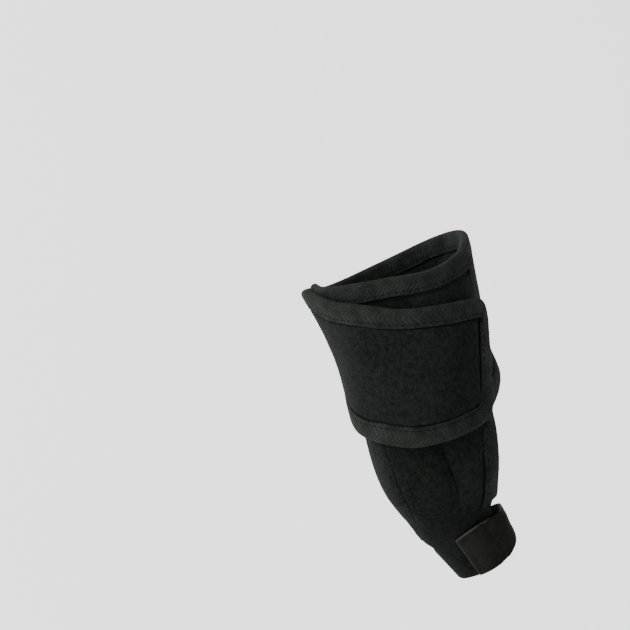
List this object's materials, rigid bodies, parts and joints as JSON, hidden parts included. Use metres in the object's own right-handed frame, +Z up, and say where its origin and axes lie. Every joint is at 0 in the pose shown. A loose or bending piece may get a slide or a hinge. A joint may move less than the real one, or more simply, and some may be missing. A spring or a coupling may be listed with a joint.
{
  "type": "bunion corrector",
  "caption": "Cloth big-toe splint for the left foot: padded inner panel with a splint pocket, wide midfoot wrap closed over it, and a toe loop with a rounded hook tab.",
  "frame": {"origin": "middle of the wrap's hollow, where the middle of the foot fills it", "axes": "+X towards the toes, +Y towards the outer side of the left foot, +Z up from its sole"},
  "size_m": [0.1388, 0.1023, 0.0857],
  "materials": {
    "padded_cloth": "matt brushed knit on foam",
    "pile_cloth": "matt loop pile",
    "twill_tape": "matt herringbone twill tape",
    "tab_cloth": "smooth close nap"
  },
  "bodies": {
    "root": {"body_panel": "padded_cloth", "splint_pocket": "pile_cloth", "midfoot_strap": "padded_cloth", "toe_loop": "pile_cloth", "toe_tab": "tab_cloth", "strap_binding": "twill_tape", "panel_heel_binding": "twill_tape", "panel_sole_binding": "twill_tape", "panel_front_binding": "twill_tape"}
  },
  "joints": []
}
